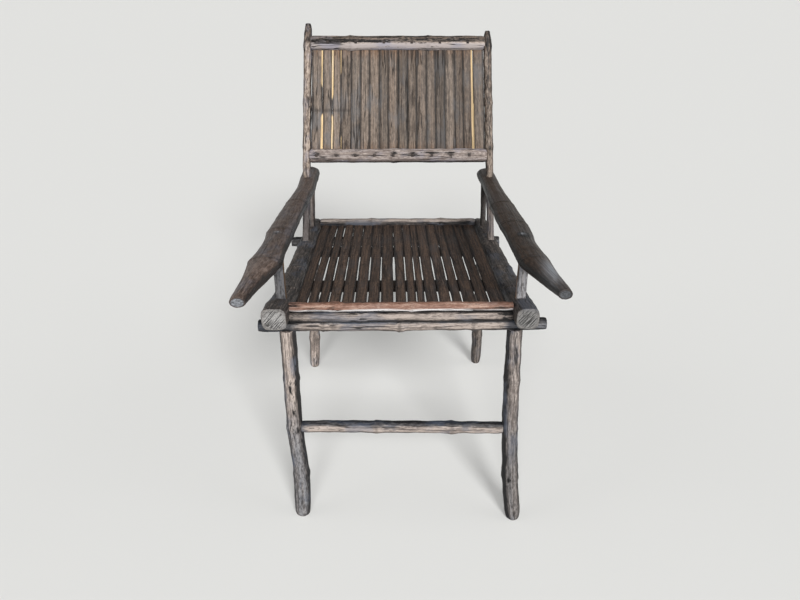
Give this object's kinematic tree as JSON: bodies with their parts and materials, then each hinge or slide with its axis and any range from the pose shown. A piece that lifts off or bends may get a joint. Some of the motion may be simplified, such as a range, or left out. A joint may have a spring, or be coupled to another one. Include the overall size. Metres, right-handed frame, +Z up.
{
  "type": "bamboo armchair",
  "caption": "Rustic bamboo armchair with a sloping slat seat, a reclined slat back, knobbly tapered arms and round pole legs tenoned through crossbars and side rails.",
  "frame": {"origin": "bottom centre of the overall box, on the floor", "axes": "+Z up, +X to the right as seen from the front, the chair faces -Y"},
  "size_m": [0.559, 0.7514, 0.906],
  "materials": {
    "frame_culm": "weathered grey-brown bamboo, dry and matt",
    "rail_culm": "dark weathered bamboo with pale end grain",
    "arm_culm": "dark handled bamboo, satin",
    "seat_slat": "dark brown split bamboo, satin",
    "back_slat": "grey-brown split bamboo, matt",
    "back_culm": "pale weathered bamboo with dark stains",
    "seat_cap": "worn red-brown bamboo",
    "peg_wood": "whittled wood, matt",
    "nail_iron": "rusted"
  },
  "bodies": {
    "root": {"armrest_left": "arm_culm", "armrest_right": "arm_culm", "back_bottom_rail_front": "back_culm", "back_bottom_rail_rear": "back_culm", "back_post_left": "back_culm", "back_post_right": "back_culm", "back_rail_nails": "nail_iron", "back_slat_01": "back_slat", "back_slat_02": "back_slat", "back_slat_03": "back_slat", "back_slat_04": "back_slat", "back_slat_05": "back_slat", "back_slat_06": "back_slat", "back_slat_07": "back_slat", "back_slat_08": "back_slat", "back_slat_09": "back_slat", "back_slat_10": "back_slat", "back_slat_11": "back_slat", "back_slat_12": "back_slat", "back_slat_13": "back_slat", "back_slat_14": "back_slat", "back_slat_15": "back_slat", "back_slat_16": "back_slat", "back_slat_17": "back_slat", "back_slat_18": "back_slat", "back_top_rail_front": "back_culm", "back_top_rail_rear": "back_culm", "front_crossbar": "frame_culm", "front_leg_left": "frame_culm", "front_leg_right": "frame_culm", "front_stretcher": "frame_culm", "rear_crossbar": "frame_culm", "rear_leg_left": "frame_culm", "rear_leg_right": "frame_culm", "seat_batten_front": "seat_slat", "seat_batten_rear": "seat_slat", "seat_front_cap": "seat_cap", "seat_front_rail": "frame_culm", "seat_rear_rail": "frame_culm", "seat_slat_01": "seat_slat", "seat_slat_02": "seat_slat", "seat_slat_03": "seat_slat", "seat_slat_04": "seat_slat", "seat_slat_05": "seat_slat", "seat_slat_06": "seat_slat", "seat_slat_07": "seat_slat", "seat_slat_08": "seat_slat", "seat_slat_09": "seat_slat", "seat_slat_10": "seat_slat", "seat_slat_11": "seat_slat", "seat_slat_12": "seat_slat", "seat_slat_13": "seat_slat", "seat_slat_14": "seat_slat", "seat_slat_15": "seat_slat", "seat_slat_16": "seat_slat", "seat_slat_17": "seat_slat", "side_rail_left": "rail_culm", "side_rail_right": "rail_culm", "tenon_pegs": "peg_wood"}
  },
  "joints": []
}
